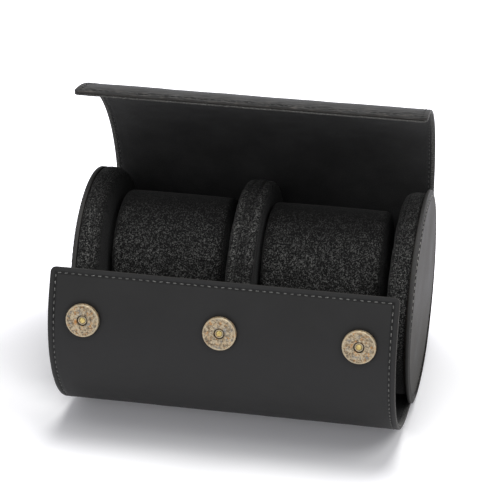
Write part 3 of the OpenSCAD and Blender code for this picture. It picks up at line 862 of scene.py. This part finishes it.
def divider_face(side, name):
    """Velvet face of the divider: a thin pad with a round edge, pulled in at the seam."""
    R, seam, out = WALL_RADIUS, DIVIDER_SEAM, DIVIDER_OUT
    profile = [(0.6, seam), (R * 0.5, seam), (R - 4, seam), (R - 1.1, seam + 0.02), (R - 0.35, seam + 0.35),
               (R - 0.1, seam + 0.9)]
    profile += [(R - 2.3 + 2.2 * math.cos(a), out - 2.3 + 2.2 * math.sin(a))
                for a in map(math.radians, (8, 28, 48, 68, 86))]
    profile += [(r, out - 0.12 - 0.2 * (r / R) ** 4)
                for r in (R - 5, R - 8, R * 0.7, R * 0.5, R * 0.3, R * 0.15, 0.6)]
    radii, heights = np.array(profile).T
    # painted light and shade: the specks are strong on the rim, which faces the light, and dark on the flat
    # face, in the compartment's shade
    nap = np.clip((radii / R - 0.88) / 0.08, 0.14, 0.75) * (0.3 + 0.7 * np.clip((out - heights) / 2.0, 0, 1))
    velvet(f"divider_velvet_{name}", f"divider_face_{name}", profile, partial(about_axis, side), nap,
           (0.07, 1.5, 40 + side), (*range(4), *range(-5, 0)), (3.0, 0.35), side < 0)
    rim_stitches(f"divider_stitches_{name}", side * seam)


def divider_gusset():
    """Velvet strip round the divider, crowned between its two seams."""
    R, seam = WALL_RADIUS, DIVIDER_SEAM
    profile = [(R - 3.0, -seam), (R - 1.1, -seam + 0.02)]
    profile += [(R - 0.05 - 0.55 * abs(u) ** 4, u * (seam - 0.25)) for u in np.linspace(-1, 1, 9)]
    profile += [(R - 1.1, seam - 0.02), (R - 3.0, seam)]
    velvet("divider_strip_velvet", "divider_gusset", profile, partial(about_axis, 1),
           np.full(len(profile), 0.46), (0.06, 1.5, 50))


SIDES = ((-1, "left"), (1, "right"))
for side, name in SIDES:
    end_pad(side, name)
    end_disc(side, name)
for side, name in SIDES:
    divider_face(side, name)
divider_gusset()


def pillow(name, ease, reach):
    """A pillow: a soft roll whose ends are full discs of velvet; its side is sewn to each end disc. Ease
    is what it is shorter at its left end, and reach what it is longer at its right end."""
    low, high = box_mm(f"pillow_cover_{name}")
    centre, half = (low + high) / 2, (high - low) / 2
    R, L = half[1], half[0]
    bend = 2.6                            # radius of the roll's edges
    centre, L = centre + [(reach + ease) / 2, 0, 0], L + (reach - ease) / 2
    flat = L - 0.8                        # where the end discs begin
    crown = [(r, L - 0.05 - 0.75 * (r / (R - bend)) ** 2) for r in np.linspace(R - bend, 3.5, 8)]
    crown += [(0.6, L - 0.05)]
    profile = [(r, -h) for r, h in reversed(crown)]
    profile += arc_points((R - bend - 0.1, -flat + bend), bend - 0.15, -78, -6, 6)
    body = np.linspace(-flat + bend + 1.6, flat - bend - 1.6, 18)
    profile += [(R - 0.35 + 0.2 * math.cos(math.pi * v / (2 * flat)), v) for v in body]
    profile += arc_points((R - bend - 0.1, flat - bend), bend - 0.15, 6, 78, 6)
    profile += crown
    heights, segments = np.array(profile)[:, 1:], 72
    angle = (np.arange(segments) * TURN / segments)[None, :]
    # painted light and shade: the pale specks are strong over the lower front, which catches the light, and
    # kept dark over the top and towards the ends by the walls
    painted_light_front = 0.5 + 0.5 * np.cos(angle - math.radians(218))
    ends = np.clip((L - np.abs(heights)) / 3.0, 0, 1)
    nap = (0.08 + 0.92 * painted_light_front ** 1.4) * (0.25 + 0.75 * ends)
    velvet(f"pillow_velvet_{name}", f"pillow_cover_{name}", profile, lambda local: centre + local, nap,
           (0.09, 1.6, 60 + len(name)), (9, 12, -13, -10), (2.5, 0.3), segments=segments,
           body=f"pillow_{name}")


pillow("left", 1.5, 0.0)                  # keeps clear of the left pad's swell when it is lifted
pillow("right", 0.0, 1.5)                 # its soft end fills more of its gap

# ---------------- Snaps

# (radius, height) round each snap's axis: the socket's plate, rim, flat ring, well and eyelet
SOCKET_PROFILE = [(1.36, 0.0), (6.9, 0.0), (7.35, 0.12), (7.5, 0.4), (7.5, 1.85), (7.42, 2.04), (7.1, 2.3),
                  (6.75, 2.37), (6.5, 2.35), (6.3, 2.27), (6.12, 2.27), (5.9, 2.35), (5.0, 2.36), (4.0, 2.36),
                  (3.0, 2.37), (2.62, 2.34), (2.5, 2.24), (2.48, 1.25), (2.2, 1.2), (2.02, 1.2), (1.96, 1.26),
                  (1.95, 1.5), (1.88, 1.64), (1.7, 1.68), (1.42, 1.64), (1.36, 1.5)]
HUB_PROFILE = [(0.05, 1.0), (1.30, 1.0), (1.33, 1.4), (1.28, 1.6), (1.1, 1.69), (0.7, 1.71), (0.3, 1.66),
               (0.05, 1.64)]


def snap_row(name, node, profile, material, layers, segments=72):
    """Three equal turned pieces in one mesh, on the flap's outer face: the closed profile is turned about
    each snap's axis, which is square to the sheet, with height outward."""
    r, height = (np.array(values)[:, None] for values in zip(*profile))
    angle = np.arange(segments) * TURN / segments
    x, forward = r * np.cos(angle), r * np.sin(angle)
    t = T_FRONT + SNAP_EDGE
    y, z = on_sheet(t, SOCKET_SEAT)
    h = heading(t)
    p = np.stack([np.stack([spot + x, y + forward * math.cos(h) + height * math.sin(h),
                            z + forward * math.sin(h) - height * math.cos(h)], -1)
                  for spot in (-SNAP_PITCH, 0.0, SNAP_PITCH)])
    quads = grid_faces(len(r), segments, closed_rows=True, closed_columns=True)
    faces = np.concatenate([quads + k * len(r) * segments for k in range(len(p))])
    layers = {key: np.broadcast_to(np.array(v, float)[None, :, None], p.shape[:-1])
              for key, v in layers.items()}
    dress(make_object(name, p, faces.tolist(), material, layers), [node], "front_flap")


radii, heights = np.array(SOCKET_PROFILE).T
# rubbed wear with a painted highlight: pale on the rim's crest and on the eyelet's top
wear_and_highlight = hump(radii, 7.1, 0.18) * (heights > 2.0) + hump(radii, 1.7, 0.2) * (heights > 1.6)
# painted shade: near black in the well round the hub, and faint in the flat ring's groove
hollow_shade = 0.15 * hump(radii, 6.2, 0.16) * (heights > 2.0) + (heights < 1.5) * (radii < 2.55)
snap_row("snap_sockets", "socket_faces", SOCKET_PROFILE, BRASS_AGED,
         {"wear_and_highlight": np.clip(wear_and_highlight, 0, 1), "hollow_shade": np.clip(hollow_shade, 0, 1) * 0.8})
# the hub's foot, down in the well, is painted dark as shade
snap_row("snap_socket_hubs", "socket_rivets", HUB_PROFILE, BRASS_HUB,
         {"wear_and_highlight": np.full(len(HUB_PROFILE), 0.3), "hollow_shade": [1, 1, 0.6, 0.1, 0, 0, 0, 0]})

# the hidden pieces and the studs under the lid keep their CAD shapes
FINISHES = {"end_board": BOARD, "divider_board": BOARD, "pillow_core": FOAM,
            "socket_magnets": STEEL, "socket_washers": STEEL, "stud_washers": STEEL,
            "stud_faces": BRASS_AGED, "stud_rivets": BRASS_HUB}
for node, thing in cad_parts.items():
    for start, finish in FINISHES.items():
        if node.startswith(start):
            thing.data.materials.clear()
            thing.data.materials.append(finish)

# ---------------- Floor, light and camera


def floor_material():
    """White paper sweep with a glow, seen by the camera and in the metal: painted shade makes the glow faint
    under the case, where the shadow stays, and full white about 0.15 m away from it, and its faint blue tint
    paints the shadow's colour. It depends on the distance from a point under the case, with x scaled down as
    the case is long in x."""
    material, add = new_material("white_paper_floor")
    paper = add("BsdfPrincipled", Base_Color="#ffffff", Roughness=1.0, Specular_IOR_Level=0.0)
    at = add("Mapping", Vector=add("TexCoord").outputs["Object"], Location=(0, 0.02, 0), Scale=(0.62, 1, 1))
    reach = add("VectorMath", {0: at}, operation="LENGTH").outputs["Value"]
    # painted shade: the glow fades towards the case, and its blue tint colours the shadow
    level = add("MapRange", interpolation_type="SMOOTHSTEP", Value=reach, From_Min=0.065, From_Max=0.145,
                To_Min=0.075, To_Max=1.0)
    glow_with_painted_shade = add("Emission", Strength=level, Color=(0.93, 0.92, 1, 1))
    extra = add("MixShader", {0: seen_rays(add), 1: add("Emission", Strength=0.0), 2: glow_with_painted_shade})
    add("OutputMaterial", Surface=add("AddShader", {0: paper, 1: extra}))
    return material


def seen_rays(add):
    """1 for rays from the camera and for reflections, which see the white background."""
    rays = add("LightPath").outputs
    return add("Math", {0: rays["Is Camera Ray"], 1: rays["Is Glossy Ray"]}, operation="MAXIMUM")


def sky():
    """A soft bluish sky that lights the case, and plain white for the camera and in reflections."""
    world = bpy.data.worlds.new("studio")
    bpy.context.scene.world = world
    world.use_nodes = True
    world.node_tree.nodes.clear()
    add = partial(add_node, world.node_tree)
    light = add("Background", Color=(0.95, 0.95, 1, 1), Strength=0.36)
    white = add("Background", Color=(1, 1, 1, 1), Strength=1.0)
    add("OutputWorld", Surface=add("MixShader", {0: seen_rays(add), 1: light, 2: white}))


def stand(name, data, place, aim):
    """Stands a lamp or the camera at place, turned to aim; both in mm."""
    thing = bpy.data.objects.new(name, data)
    thing.location = Vector(place) * MM
    thing.rotation_euler = (Vector(aim) - Vector(place)).to_track_quat("-Z", "Y").to_euler()
    bpy.context.scene.collection.objects.link(thing)
    return thing


FLOOR_HALF = 6000.0
FLOOR_DROP = 0.05                        # the floor is this far under the case, so that they don't touch
floor = make_object("floor", np.array([[-1, -1, 0], [1, -1, 0], [1, 1, 0], [-1, 1, 0]]) * FLOOR_HALF
                    - [0, 0, FLOOR_DROP], [[0, 1, 2, 3]], floor_material())
sky()

# square softboxes: name, place, side in mm, power in watts
CASE_MIDDLE = (0, 0, 60)
for name, place, size, power in (("softbox_top", (100, -60, 1100), 420, 6.8),
                                 ("softbox_right", (720, -350, 950), 500, 3.7),
                                 ("softbox_front", (-350, -1100, 500), 700, 2.15)):
    light = bpy.data.lights.new(name, "AREA")
    light.energy, light.size = power, size * MM
    stand(name, light, place, CASE_MIDDLE)

lens = bpy.data.cameras.new("camera")
lens.sensor_width = 36.0
lens.lens = 164.3
lens.clip_start, lens.clip_end = 0.01, 100.0
bpy.context.scene.camera = stand("camera", lens, (178.6, -925.9, 556.5), (-2.41, 0.0, 63.86))
bpy.context.scene.view_settings.view_transform = "Standard"
